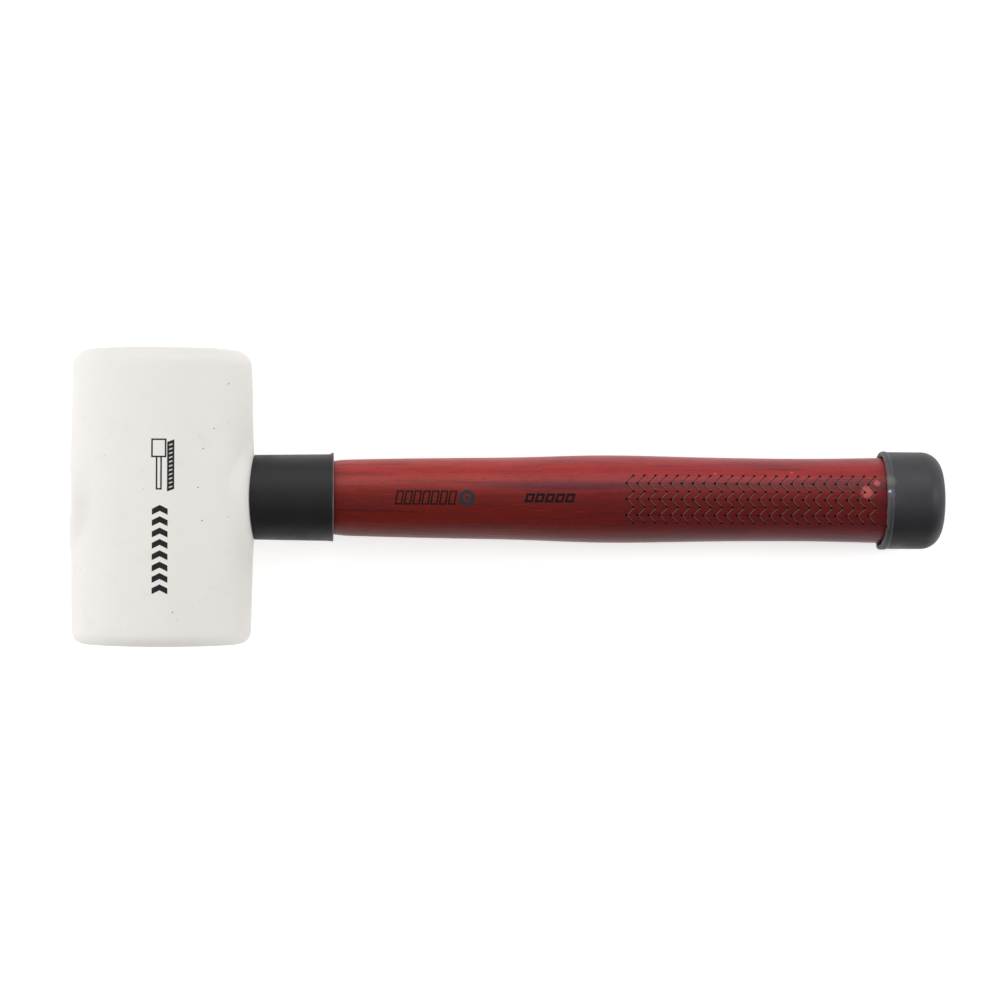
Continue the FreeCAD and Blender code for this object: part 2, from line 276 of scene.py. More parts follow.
class Finish:
    """One procedural material, made of nodes that read the tool's own axes."""

    def __init__(self, name, **sockets):
        self.material = bpy.data.materials.new(name)
        self.material.use_nodes = True
        self.tree = self.material.node_tree
        self.surface = self.tree.nodes["Principled BSDF"]
        row_place = self.add("ShaderNodeTexCoord").outputs["Object"]
        to_tool = {"Vector": row_place, "Location": TOOL.translation, "Rotation": TOOL.to_euler()}
        self.place = self.add("ShaderNodeMapping", to_tool, vector_type="TEXTURE").outputs[0]
        for socket, value in sockets.items():
            self.set(socket.replace("_", " ").title().replace("Ior", "IOR"), value)

    def set(self, socket, value):
        self.connect(value, self.surface.inputs[socket])

    def connect(self, value, socket):
        if isinstance(value, bpy.types.NodeSocket):
            self.tree.links.new(value, socket)
        else:
            socket.default_value = value

    def add(self, kind, inputs=None, **settings):
        node = self.tree.nodes.new(kind)
        for setting, value in settings.items():
            setattr(node, setting, value)
        for socket, value in (inputs or {}).items():
            self.connect(value, node.inputs[socket])
        return node

    def noise(self, sizes, detail=3.0, roughness=0.55, distortion=0.0, shift=(0, 0, 0)):
        """Noise from 0 to 1, whose lumps have the given sizes along X, Y and Z."""
        stretch = tuple(1 / size for size in sizes)
        stretched = {"Vector": self.place, "Scale": stretch, "Location": shift}
        place = self.add("ShaderNodeMapping", stretched).outputs[0]
        kind = {"Scale": 1.0, "Detail": detail, "Roughness": roughness, "Distortion": distortion}
        return self.add("ShaderNodeTexNoise", {"Vector": place, **kind}).outputs["Fac"]

    def range(self, value, low, high, to_low=0.0, to_high=1.0):
        """Bring a stretch of values smoothly to another one, and hold them at its ends."""
        limits = {"From Min": low, "From Max": high, "To Min": to_low, "To Max": to_high}
        inputs = {"Value": value, **limits}
        node = self.add("ShaderNodeMapRange", inputs, interpolation_type="SMOOTHSTEP")
        return node.outputs["Result"]

    def maths(self, operation, *values):
        node = self.add("ShaderNodeMath", dict(enumerate(values)), operation=operation)
        return node.outputs[0]

    def mask(self, name):
        return self.add("ShaderNodeAttribute", attribute_name=name).outputs["Fac"]

    def axis(self, letter):
        return self.add("ShaderNodeSeparateXYZ", {0: self.place}).outputs[letter]

    def blend(self, share, first, second):
        """Two colours mixed by a share from 0 to 1."""
        node = self.add("ShaderNodeMix", {"Factor": share}, data_type="RGBA")
        self.connect(first, node.inputs[6])
        self.connect(second, node.inputs[7])
        return node.outputs[2]

    def tint(self, colour, mask, strength, other):
        """A colour with another laid over it where a mask says, at some strength."""
        return self.blend(self.maths("MULTIPLY", mask, strength), colour, other)

    def distance(self, first, second):
        points = {0: first, 1: second}
        return self.add("ShaderNodeVectorMath", points, operation="DISTANCE").outputs["Value"]

    def growth_rings(self, pith, width):
        """Waves from -1 to 1 round a line along X, as the year's rings of a piece of wood."""
        flatten = {0: self.place, 1: (0, 1, 1)}
        across = self.add("ShaderNodeVectorMath", flatten, operation="MULTIPLY")
        away = self.distance(across.outputs["Vector"], (0, *pith))
        wander = self.maths("MULTIPLY", self.noise((30 * MM, 4 * MM, 4 * MM)), 2 * width)
        distance = self.maths("ADD", away, wander)
        return self.maths("SINE", self.maths("MULTIPLY", distance, 2 * math.pi / width))

    def spot(self, centre, size, softness=0.5):
        """A ragged mask that is 1 at a centre and falls to 0 at about one size away."""
        rough = self.noise((size * 0.5,) * 3, detail=2.0)
        ragged = self.maths("MULTIPLY_ADD", rough, size * 0.8, -size * 0.4)
        distance = self.maths("ADD", self.distance(self.place, centre), ragged)
        return self.range(distance, size * (1 - softness), size, 1.0, 0.0)

    def relief(self, *layers):
        """Bump from pairs of a height from 0 to 1 and the depth in metres that it stands for."""
        normal = None
        for height, depth in layers:
            bump = {"Height": height, "Distance": depth, "Strength": 1.0}
            node = self.add("ShaderNodeBump", bump)
            if normal is not None:
                self.connect(normal, node.inputs["Normal"])
            normal = node.outputs["Normal"]
        self.set("Normal", normal)


def srgb(red, green, blue):
    """A colour given as 0 to 255 in sRGB, as the linear colour that a shader takes."""
    linear = []
    for level in (red, green, blue):
        share = level / 255
        linear.append(share / 12.92 if share <= 0.04045 else ((share + 0.055) / 1.055) ** 2.4)
    return (*linear, 1.0)


def white_rubber():
    """Matt white rubber, faintly mottled, with a few grey specks in it."""
    finish = Finish("white_rubber_finish", specular_ior_level=0.35)
    clouds = finish.noise((22 * MM, 26 * MM, 22 * MM), detail=2.0)
    colour = finish.blend(clouds, srgb(227, 226, 222), srgb(227, 222, 217))
    grime = finish.range(finish.noise((9 * MM,) * 3, detail=5.0), 0.56, 0.75)
    colour = finish.tint(colour, grime, 0.3, srgb(218, 211, 203))
    grains = finish.noise((0.9 * MM,) * 3, detail=0.0, shift=(3, 1, 2))
    colour = finish.tint(colour, finish.range(grains, 0.87, 0.89), 0.5, srgb(120, 112, 104))
    finish.set("Base Color", colour)
    finish.set("Roughness", finish.range(finish.noise((6 * MM,) * 3), 0.3, 0.7, 0.5, 0.66))
    fine = finish.noise((0.35 * MM,) * 3, detail=3.0)
    waves = finish.noise((7 * MM,) * 3, detail=2.0)
    finish.relief((fine, 0.012 * MM), (waves, 0.12 * MM))
    return finish.material


def red_stain(finish, bands, streaks, fibres, pores):
    """Red stain, darker towards -Y partly as painted shade, with a dark vein, streaks, pale fibres
    and black pores.
    """
    y = finish.axis("Y")
    # Partly painted shade, partly stain: darker towards -Y, along a line made wavy by the bands.
    # Each colour pair is the stain lit and in painted shade.
    drift = finish.maths("MULTIPLY_ADD", bands, 14 * MM, y)
    stain_and_painted_shade = finish.range(drift, 5 * MM, 19.5 * MM, 1.0, 0.0)
    stain = finish.blend(stain_and_painted_shade, srgb(162, 47, 42), srgb(98, 22, 15))
    crimson = finish.range(finish.axis("X"), 120 * MM, 200 * MM, 0.0, 0.6)
    stain = finish.blend(crimson, stain, finish.blend(stain_and_painted_shade, srgb(144, 35, 44), srgb(82, 17, 25)))
    stain = finish.tint(stain, finish.range(bands, 0.5, 0.66), 0.45, srgb(70, 26, 32))

    across = finish.maths("MULTIPLY_ADD", bands, 6 * MM, y)
    off_vein = finish.maths("ABSOLUTE", finish.maths("SUBTRACT", across, 8.8 * MM))
    vein = finish.range(off_vein, 0.5 * MM, 2.4 * MM, 1.0, 0.0)
    vein_strength = finish.range(finish.axis("X"), 105 * MM, 150 * MM, 0.0, 0.6)
    stain = finish.tint(stain, vein, vein_strength, srgb(60, 22, 32))

    stain = finish.tint(stain, finish.range(streaks, 0.52, 0.75), 0.6, srgb(48, 14, 13))
    stain = finish.tint(stain, finish.range(fibres, 0.55, 0.8), 0.3, srgb(176, 70, 52))
    return finish.tint(stain, finish.range(pores, 0.62, 0.72), 0.6, srgb(34, 10, 8))


def end_grain(finish, pores):
    """Bare wood with its growth rings, and a mask of where it shows: in the eye and the cap."""
    rings = finish.range(finish.growth_rings((42 * MM, -55 * MM), 2.1 * MM), -0.4, 1.0)
    bare = finish.blend(rings, srgb(198, 156, 112), srgb(158, 110, 72))
    bare = finish.tint(bare, pores, 0.4, srgb(120, 80, 52))
    x = finish.axis("X")
    in_eye = finish.range(x, -12 * MM, -10 * MM, 1.0, 0.0)
    in_cap = finish.range(x, HANDLE_END - 1.6 * MM, HANDLE_END - 1.2 * MM)
    return bare, finish.maths("MAXIMUM", in_eye, in_cap)


# Chips in the lacquer near the butt: place and size, in millimetres.
CHIPS = (
    ((277.2, 3.2, 16.0), 3.0),
    ((281.5, 6.6, 15.0), 1.7),
    ((217.5, 10.5, 13.5), 0.8),
    ((248.0, 10.8, 12.6), 0.7),
)


def stained_hickory():
    """Hickory stained red under gloss lacquer, bare where it is cut and burnt in the grooves."""
    finish = Finish(
        "stained_hickory_finish", specular_ior_level=0.1, coat_weight=0.16, coat_roughness=0.3
    )
    bands = finish.noise((70 * MM, 7 * MM, 7 * MM), detail=3.0, distortion=0.3)
    streaks = finish.noise((34 * MM, 1.5 * MM, 1.5 * MM), detail=4.0, roughness=0.6)
    fibres = finish.noise((9 * MM, 0.32 * MM, 0.32 * MM), detail=3.0, roughness=0.6)
    pores = finish.noise((2.6 * MM, 0.2 * MM, 0.2 * MM), detail=1.0)

    bare, cut = end_grain(finish, pores)
    colour = finish.blend(cut, red_stain(finish, bands, streaks, fibres, pores), bare)
    chips = 0.0
    for centre, size in CHIPS:
        chip = finish.spot(tuple(part * MM for part in centre), size * MM)
        chips = finish.maths("MAXIMUM", chips, chip)
    colour = finish.tint(colour, chips, 0.6, srgb(196, 96, 94))
    # Tan on each groove's +X edge: bare wood, and a painted highlight of the lit groove wall.
    colour = finish.tint(colour, finish.mask("raw_edge"), 0.85, srgb(132, 104, 86))
    burnt = finish.mask("burnt")
    finish.set("Base Color", finish.blend(burnt, colour, srgb(12, 8, 6)))
    gloss = finish.range(streaks, 0.3, 0.7, 0.34, 0.46)
    finish.set("Roughness", finish.maths("MAXIMUM", gloss, burnt))
    finish.relief((fibres, 0.02 * MM), (streaks, 0.1 * MM), (pores, 0.02 * MM))
    return finish.material


def black_rubber(name, dark, light, scuffs=()):
    """Black rubber, darker towards -Y as painted shade, with dust, pale edges of wear and painted
    highlight, and scuffs at given places.
    """
    finish = Finish(name, specular_ior_level=0.2)
    clouds = finish.noise((12 * MM,) * 3, detail=3.0)
    colour = finish.blend(clouds, dark, light)
    # Painted shade: the colour darkens towards -Y, the side that the light reaches least.
    painted_shade = finish.range(finish.axis("Y"), -12 * MM, 3 * MM, 0.75, 0.0)
    colour = finish.blend(painted_shade, colour, srgb(20, 20, 21))
    dust = finish.range(finish.noise((0.5 * MM,) * 3, detail=1.0), 0.7, 0.8)
    colour = finish.tint(colour, dust, 0.25, srgb(96, 94, 92))
    # Pale edges: wear on the cap's lip, and a painted highlight where the collar's lip and the
    # cap's step would catch the light.
    patchy = finish.range(clouds, 0.25, 0.6, 0.5, 1.0)
    colour = finish.tint(colour, finish.mask("worn"), patchy, srgb(112, 108, 108))
    for centre, size, strength, shade in scuffs:
        scuff = finish.spot(tuple(part * MM for part in centre), size * MM, softness=0.8)
        colour = finish.tint(colour, scuff, strength, shade)
    finish.set("Base Color", colour)
    finish.set("Roughness", finish.range(clouds, 0.3, 0.7, 0.42, 0.56))
    fine = finish.noise((0.4 * MM,) * 3, detail=3.0)
    waves = finish.noise((5 * MM,) * 3, detail=2.0)
    finish.relief((fine, 0.015 * MM), (waves, 0.1 * MM))
    return finish.material


def ink(name, dark, light, specular=0.4):
    """Printed or burnt-in marking, a little uneven."""
    finish = Finish(name, specular_ior_level=specular)
    finish.set("Base Color", finish.blend(finish.noise((0.8 * MM,) * 3), dark, light))
    finish.set("Roughness", finish.range(finish.noise((2 * MM,) * 3), 0.3, 0.7, 0.4, 0.6))
    finish.relief((finish.noise((0.2 * MM,) * 3), 0.006 * MM))
    return finish.material


def wedge_wood():
    """Pale unstained wood, with its grain running into the handle."""
    finish = Finish("wedge_wood_finish")
    grain = finish.noise((12 * MM, 0.5 * MM, 0.5 * MM), detail=4.0)
    share = finish.range(grain, 0.35, 0.65)
    finish.set("Base Color", finish.blend(share, srgb(205, 168, 120), srgb(160, 116, 72)))
    finish.set("Roughness", finish.range(grain, 0.3, 0.7, 0.6, 0.75))
    finish.relief((grain, 0.06 * MM))
    return finish.material


def wedge_steel():
    """Sheared mild steel, dull grey with fine scratches and a little rust."""
    finish = Finish("wedge_steel_finish", metallic=1.0)
    scratches = finish.noise((6 * MM, 0.3 * MM, 3 * MM), detail=4.0)
    rust = finish.range(finish.noise((2.5 * MM,) * 3, detail=4.0), 0.55, 0.7)
    steel = finish.blend(scratches, srgb(150, 150, 152), srgb(176, 175, 174))
    finish.set("Base Color", finish.tint(steel, rust, 0.5, srgb(110, 70, 48)))
    finish.set("Roughness", finish.range(scratches, 0.3, 0.7, 0.32, 0.55))
    finish.relief((scratches, 0.02 * MM))
    return finish.material


# ---------------- the rubber head

# The barrel is a grid of faces about Y. Round each end of the eye a window is left open in it,
# and filled with rings that follow the eye. A window reaches this many columns to each side.

COLUMNS = 128
WINDOW_COLUMNS = 16
WINDOW_REACH = 25.5 * MM

# The swelling is whole out to the first distance from the eye's axis, and gone at the second.
PAD_FLAT = 17.5 * MM
PAD_EDGE = 25.0 * MM
EYE_ROUNDING = 0.7 * MM

# Distances from the head's middle along the eye: where its width at the rims is taken, and
# where plain rings stand inside it.
EYE_RIM = 0.6 * HEAD_HALF
EYE_JOIN = 28.0 * MM
FACE_DISH = 0.12 * MM


def head_profile():
    """Pairs of a place along Y and a radius, from the -Y face's edge to the +Y face's."""
    rims = {}
    for side, rounding in RIMS.items():
        flat = face_radius(side)
        start = HEAD_HALF - rounding
        turns = np.linspace(0, math.pi / 2, 9)
        rise = barrel_radius(start) - flat
        places = side * (start + rounding * np.cos(turns))
        rims[side] = list(zip(places, flat + rise * np.sin(turns)))
    low = rims[-1][-1][0]
    high = rims[1][-1][0]
    sides = [(place, float(barrel_radius(place))) for place in np.linspace(low, high, 62)[1:-1]]
    return rims[-1] + sides + rims[1][::-1]


def head_side(places, heights, side):
    """X of the head's surface above places in the YZ plane, with the swelling round the eye."""
    barrel = np.sqrt(np.square(barrel_radius(places)) - np.square(heights))
    swelling = np.maximum(np.polyval(EYE_FACE, np.square(heights)), barrel)
    share = 1 - smoothstep(PAD_FLAT, PAD_EDGE, np.hypot(places, heights))
    return side * (barrel + (swelling - barrel) * share)


def window_span(profile, side):
    """Rows and columns of the grid's points in a window, its edges among them."""
    middle = 0 if side > 0 else COLUMNS // 2
    rows = [row for row, (place, _) in enumerate(profile) if abs(place) < WINDOW_REACH]
    steps = range(-WINDOW_COLUMNS, WINDOW_COLUMNS + 1)
    return rows, [(middle + step) % COLUMNS for step in steps]


def window_cells(profile, side):
    """Rows and columns of the grid's cells that a window takes out."""
    rows, columns = window_span(profile, side)
    return {(row, column) for row in rows[:-1] for column in columns[:-1]}


def window_edge(grid, profile, side):
    """The points round a window, as a ring."""
    rows, columns = window_span(profile, side)
    edge = [(rows[0], column) for column in columns]
    edge += [(row, columns[-1]) for row in rows[1:]]
    edge += [(rows[-1], column) for column in columns[-2::-1]]
    edge += [(row, columns[0]) for row in rows[-2:0:-1]]
    return [grid[row][column] for row, column in edge]


def eye_window(skin, grid, profile, side):
    """Fill a window with rings that lead to the eye. Returns the last ring and its angles."""
    ring = window_edge(grid, profile, side)
    corners = np.array([skin.points[number] for number in ring])
    around = np.arctan2(corners[:, 2], corners[:, 1])
    radius = eye_radius(side * EYE_RIM) + EYE_ROUNDING
    for share in np.linspace(1, 0, 15)[1:] ** 1.25:
        places = share * corners[:, 1] + (1 - share) * radius * np.cos(around)
        heights = share * corners[:, 2] + (1 - share) * radius * np.sin(around)
        depth = head_side(places, heights, side)
        inner = skin.add_points(np.stack([depth, places, heights], axis=-1))
        skin.bridge(ring, inner)
        ring = inner
    rim = np.array([skin.points[number] for number in ring])
    for turn in (30, 60, 90):
        sunk = EYE_ROUNDING * (1 - math.cos(math.radians(turn)))
        narrow = radius - EYE_ROUNDING * math.sin(math.radians(turn))
        inner = skin.add_points(bored(rim[:, 0] - side * sunk, narrow, around))
        skin.bridge(ring, inner)
        ring = inner
    return ring, around


def rubber_head():
    """Barrel of white rubber with rounded faces, and a bored eye that swells at both ends."""
    skin = Skin()
    profile = head_profile()
    turns = np.linspace(0, 2 * math.pi, COLUMNS, endpoint=False)
    unit = np.stack([np.cos(turns), np.zeros(COLUMNS), np.sin(turns)], axis=-1)
    grid = [skin.add_points(radius * unit + (0, place, 0)) for place, radius in profile]
    open_cells = window_cells(profile, 1) | window_cells(profile, -1)
    for row, (near, far) in enumerate(zip(grid, grid[1:])):
        for column in range(COLUMNS):
            if (row, column) not in open_cells:
                after = (column + 1) % COLUMNS
                skin.add_face((near[column], near[after], far[after], far[column]))
    for side, outer in ((-1, grid[0]), (1, grid[-1])):
        strike_face(skin, outer, side)
    join_eye(skin, *[(side, *eye_window(skin, grid, profile, side)) for side in (1, -1)])
    return skin


def strike_face(skin, outer, side):
    """Close one end of the head with a flat face that dishes very slightly."""
    edge = np.array([skin.points[number] for number in outer])
    ring = outer
    for share in (0.96, 0.9, 0.7, 0.45, 0.2):
        dish = FACE_DISH * smoothstep(1.0, 0.6, share)
        points = edge * np.array([share, 1, share]) - np.array([0, side * dish, 0])
        inner = skin.add_points(points)
        skin.bridge(ring, inner)
        ring = inner
    skin.lid(ring, (0, side * (HEAD_HALF - FACE_DISH), 0))


def join_eye(skin, *ends):
    """The eye's tapered wall: each end leads to a plain ring, and triangles join the two."""
    rings = []
    for side, ring, turns in ends:
        place = side * EYE_JOIN
        inner = skin.add_points(bored(place, eye_radius(place), turns))
        skin.bridge(ring, inner)
        rings.append((inner, turns))
    zip_rings(skin, *rings)


def in_order(ring, turns):
    """A ring's points and angles by rising angle, with an angle past all others at the end."""
    order = np.argsort(turns, kind="stable")
    return [ring[step] for step in order], [*turns[order], math.inf]


def zip_rings(skin, first, second):
    """Join two rings that have different numbers of points with a band of triangles."""
    first, first_turns = in_order(*first)
    second, second_turns = in_order(*second)
    here, there = 0, 0
    while here < len(first) or there < len(second):
        pair = (first[here % len(first)], second[there % len(second)])
        next_first = first_turns[min(here + 1, len(first))]
        next_second = second_turns[min(there + 1, len(second))]
        if there >= len(second) or (here < len(first) and next_first <= next_second):
            here += 1
            skin.add_face((*pair, first[here % len(first)]))
        else:
            there += 1
            skin.add_face((*pair, second[there % len(second)]))


# ---------------- the handle

# The grip's pattern: zigzag grooves in columns, on top and underneath.

ZIGZAGS = 23
ZIGZAG_START = 182.1 * MM
ZIGZAG_PITCH = 4.355 * MM
ZIGZAG_SWING = 3.1 * MM
ZIGZAG_ROWS = 6
ROW_HEIGHT = 3.13 * MM
GROOVE_DEPTH = 0.28 * MM
PIT_REACH = 0.42 * MM

# A pit is deeper than its groove by this share of the groove's depth.
PIT_EXTRA = 1.4
SIDE_STEPS = 18
BUTT_CHAMFER = 1.5 * MM
TENON_CHAMFER = 0.3 * MM

# The tenon's end is set back, so that it shares no face with the wedges' ends.
TENON_FACE = TENON_END + 0.3 * MM

# Across one groove: distance from its middle in millimetres, the same at a pit, the share of
# the groove's depth, and how bare the wood is. The bare edge is on the groove's +X side only,
# where it is also a painted highlight of the lit wall.
GROOVE = (
    (-0.22, -0.60, 0.0, 0.0),
    (-0.09, -0.30, 1.0, 0.0),
    (0.07, 0.28, 1.0, 0.0),
    (0.15, 0.42, 0.3, 1.0),
    (0.34, 0.54, 0.0, 1.0),
    (0.46, 0.70, 0.0, 0.0),
)

# Offsets, in millimetres, of the two plain stations between one groove and the next.
LAND = (1.9, 3.1)


def plain_station(place, share=0.0):
    """A station without a groove, with its share of the zigzag's swing."""
    return (place, 0.0, 0.0, share, 0.0, 0.0)


def handle_stations():
    """Columns: place along X, offset, offset at a pit, share of swing, depth, bare edge and
    painted highlight.
    """
    plain = list(np.linspace(TENON_FACE + TENON_CHAMFER, COLLAR_START, 9))
    plain.append(0.5 * (COLLAR_START + COLLAR_END))
    plain += list(np.linspace(COLLAR_END, ZIGZAG_START - 8 * MM, 46))
    stations = [plain_station(place) for place in plain]
    for share in (0.15, 0.45, 0.8):
        stations.append(plain_station(ZIGZAG_START - (1 - share) * 6 * MM - 1 * MM, share))
    for column in range(ZIGZAGS):
        place = ZIGZAG_START + column * ZIGZAG_PITCH
        for offset, at_pit, depth, bare in GROOVE:
            stations.append((place, offset * MM, at_pit * MM, 1.0, depth, bare))
        stations += [plain_station(place + offset * MM, 1.0) for offset in LAND]
    # The last groove has the cap after it, and no room for its second plain station.
    stations.pop()
    stations.append(plain_station(CAP_START - 2.4 * MM, 0.4))
    chamfer = HANDLE_END - BUTT_CHAMFER
    for place in (CAP_START, 0.5 * (CAP_START + chamfer), chamfer):
        stations.append(plain_station(place))
    return np.array(stations)


def girth_steps():
    """Columns of one half turn, as rows of the pattern, with three beyond it at either end."""
    near = np.array((0.0, 0.05, 0.1, 0.16, 0.32, 0.5, 0.68, 0.84, 0.9, 0.95))
    rows = np.concatenate([row + near for row in range(ZIGZAG_ROWS)] + [[ZIGZAG_ROWS]])
    beyond = np.array((0.06, 0.12, 0.2))
    return np.concatenate([-beyond[::-1], rows, ZIGZAG_ROWS + beyond])


def grip_pattern():
    """For each column of the pattern: height across the grip, swing, pit, and if it's engraved."""
    rows = girth_steps()
    heights = ROW_HEIGHT * (ZIGZAG_ROWS / 2 - rows)
    held = np.clip(rows, 0, ZIGZAG_ROWS)
    zigzag = np.abs(1 - np.mod(held, 2))
    to_corner = np.abs(rows - np.round(held)) * ROW_HEIGHT
    pit = 1 - smoothstep(0.5 * PIT_REACH, PIT_REACH, to_corner)
    engraved = np.where((rows > -0.1) & (rows < ZIGZAG_ROWS + 0.1), 1.0, 0.0)
    return heights, zigzag, pit, engraved


def handle_grid():
    """The handle's points by station and column, its angles, a char mask and a bare edge and
    highlight mask.
    """
    heights, zigzag, pit, engraved = grip_pattern()
    side = np.linspace(0, 1, SIDE_STEPS + 1)[1:-1]
    side_swing = 0.5 + 0.5 * np.cos(2 * math.pi * side)
    swing = np.concatenate([zigzag, side_swing] * 2)
    pits = np.concatenate([pit * engraved, 0 * side] * 2)
    depths = np.concatenate([engraved * (1 + PIT_EXTRA * pit), 0 * side] * 2)
    engraved = np.concatenate([engraved, 0 * side] * 2)

    stations = handle_stations().T
    place, offset, at_pit, share, depth, bare = (column[:, None] for column in stations)
    places = place + share * swing * ZIGZAG_SWING + offset + (at_pit - offset) * pits
    radii = wood_radius(places)
    top = np.arcsin(heights / radii.mean(axis=1)[:, None])
    sides = top[:, -1:] - side * (math.pi - 2 * top[:, :1])
    angles = np.concatenate([top, sides, top - math.pi, sides - math.pi], axis=1)
    points = turned(places, radii - GROOVE_DEPTH * depth * depths, angles)
    burnt = np.clip(depth * depths, 0, 1)
    raw_edge = bare * engraved * (1 - 0.8 * pits)
    return points, angles, burnt, raw_edge


def handle():
    """Turned handle whose grid of faces follows the zigzag grooves of the grip."""
    skin = Skin()
    points, angles, burnt, raw_edge = handle_grid()
    rings = [
        skin.add_points(row, burnt=row_burnt, raw_edge=row_edge)
        for row, row_burnt, row_edge in zip(points, burnt, raw_edge)
    ]
    for near, far in zip(rings, rings[1:]):
        skin.bridge(near, far)
    butt = skin.add_points(turned(HANDLE_END, SEAT_RADIUS - BUTT_CHAMFER, angles[-1]))
    skin.bridge(rings[-1], butt)
    skin.lid(butt, (HANDLE_END, 0, 0))
    tenon = skin.add_points(turned(TENON_FACE, TENON_RADIUS - TENON_CHAMFER, angles[0]))
    skin.bridge(tenon, rings[0])
    skin.lid(tenon[::-1], (TENON_FACE, 0, 0))
    return skin


def carve(piece, cutters):
    """Cut the shapes of other objects out of a piece."""
    for cutter in cutters:
        cut = piece.modifiers.new("slot", "BOOLEAN")
        cut.operation = "DIFFERENCE"
        cut.solver = "EXACT"
        cut.object = cutter
    graph = bpy.context.evaluated_depsgraph_get()
    carved = bpy.data.meshes.new_from_object(piece.evaluated_get(graph))
    piece.modifiers.clear()
    piece.data = carved


# ---------------- collar and cap

RING_TURNS = np.linspace(0, 2 * math.pi, 144, endpoint=False)

# How far the collar grows from the head to its lip, and how long its two ends are.
COLLAR_FLARE = 0.4 * MM
COLLAR_NEAR_END = 0.3 * MM
COLLAR_LIP = 2.0 * MM

# The cap's body radius, where its plain body starts, and its closed end: the corner's rounding,
# the dome's rise and the depth of the dimple in the middle.
CAP_BODY = MOUNTS["cap_band"]["dims"]["r_mm"] * MM
CAP_PLAIN = CAP_START + 3.3 * MM
CAP_CORNER = 7.9 * MM
CAP_DOME = 0.8 * MM
CAP_DIMPLE = 0.2 * MM


def roughness_of(turns, size, seed):
    """Noise round a ring, from -1 to 1."""
    places = [Vector((math.cos(turn), math.sin(turn), seed)) / size for turn in turns]
    return np.array([noise.noise(place) for place in places])


def bump_at(turns, centre, width):
    """A smooth bump round a ring, 1 at a centre angle and 0 beyond a width, in radians."""
    away = np.abs(np.angle(np.exp(1j * (turns - centre))))
    return 1 - smoothstep(0.0, width, away)


def collar_face(radius):
    """Place along X of the collar's near end at a radius. It follows the head's swelling."""
    return COLLAR_START + EYE_FACE[0] * np.square(radius * np.cos(RING_TURNS))


def collar():
    """Rubber sleeve that meets the head in a curve and ends in a trimmed, flared lip."""
    skin = Skin()
    head_radius = radius_near(COLLAR, COLLAR[:, 0].min())
    lip = COLLAR_LIP_RADIUS
    burr = 0.5 * MM * bump_at(RING_TURNS, 0.5 * math.pi, 0.12)
    wave = 0.06 * MM * roughness_of(RING_TURNS, 0.5, 3.0)
    near_outer = collar_face(head_radius)
    sleeve_start = near_outer + COLLAR_NEAR_END
    sleeve_length = COLLAR_END - COLLAR_LIP - sleeve_start

    # Each band is a place along X, a radius and a share of wear and painted highlight.
    bands = [
        (collar_face(NECK_START_RADIUS), NECK_START_RADIUS, 0.2),
        (collar_face(head_radius - 0.25 * MM), head_radius - 0.25 * MM, 0.5),
        (near_outer + 0.08 * MM, head_radius - 0.07 * MM, 0.3),
        (sleeve_start, head_radius, 0.0),
    ]
    for share in np.linspace(0, 1, 12)[1:]:
        radius = head_radius + share * COLLAR_FLARE + 0.3 * wave
        bands.append((sleeve_start + share * sleeve_length, radius, 0.0))
    # The lip's outer edge is painted pale: a painted highlight where it would catch the light.
    bands += [
        (COLLAR_END - 1.0 * MM + wave, lip - 0.12 * MM + 0.4 * burr, 0.0),
        (COLLAR_END - 0.45 * MM + wave, lip + burr - 0.02 * MM, 0.1),
        (COLLAR_END - 0.3 * MM + wave, lip + burr, 0.9),
        (COLLAR_END - 0.02 * MM - np.abs(wave), lip - 0.28 * MM + burr, 1.0),
        (COLLAR_END - np.abs(wave), lip - 0.6 * MM, 0.6),
        (COLLAR_END - 0.3 * MM, NECK_RADIUS + 0.25 * MM, 0.1),
        (COLLAR_END - 1.2 * MM, NECK_RADIUS - 0.02 * MM, 0.0),
    ]
    rings = skin.loft(bands, RING_TURNS)
    skin.bridge(rings[-1], rings[0])
    return skin


def cap_mouth():
    """Bands from inside the cap, over its ragged lip and its bead, to the ring behind them."""
    rim = CAP_BEAD_RADIUS
    ragged = roughness_of(RING_TURNS, 0.09, 1.0)
    waves = roughness_of(RING_TURNS, 0.6, 7.0)
    nick = bump_at(RING_TURNS, math.radians(-34), 0.09)
    flash = np.clip(roughness_of(RING_TURNS, 0.16, 5.0), 0, 1) * 0.5 * MM
    lower = 0.9 * MM * bump_at(RING_TURNS, -0.5 * math.pi, 0.5)
    lip = CAP_START + 0.25 * MM * ragged + 0.7 * MM * nick - lower
    return [
        (CAP_START + 5 * MM, SEAT_RADIUS + 0.02 * MM, 0.0),
        (CAP_START + 2.2 * MM, SEAT_RADIUS + 0.1 * MM, 0.0),
        (CAP_START + 0.9 * MM + 0.2 * MM * ragged, SEAT_RADIUS + 0.45 * MM, 0.1),
        (lip + 0.35 * MM - flash, SEAT_RADIUS + 0.95 * MM, 0.35),
        (lip + 0.15 * MM, SEAT_RADIUS + 1.5 * MM + 0.2 * MM * ragged, 0.45),
        (lip + 0.35 * MM, rim - 0.55 * MM, 0.35),
        (lip + 0.9 * MM, rim - 0.12 * MM + 0.1 * MM * waves, 0.25),
        (CAP_START + 1.7 * MM, rim - 0.05 * MM, 0.15),
        (CAP_START + 2.3 * MM, rim - 0.1 * MM, 0.12),
        # The step from the bead to the body is painted pale: a painted highlight along it.
        (CAP_START + 2.55 * MM, CAP_BODY + 0.05 * MM, 0.45),
        (CAP_START + 2.8 * MM, CAP_BODY - 0.05 * MM, 0.1),
    ]


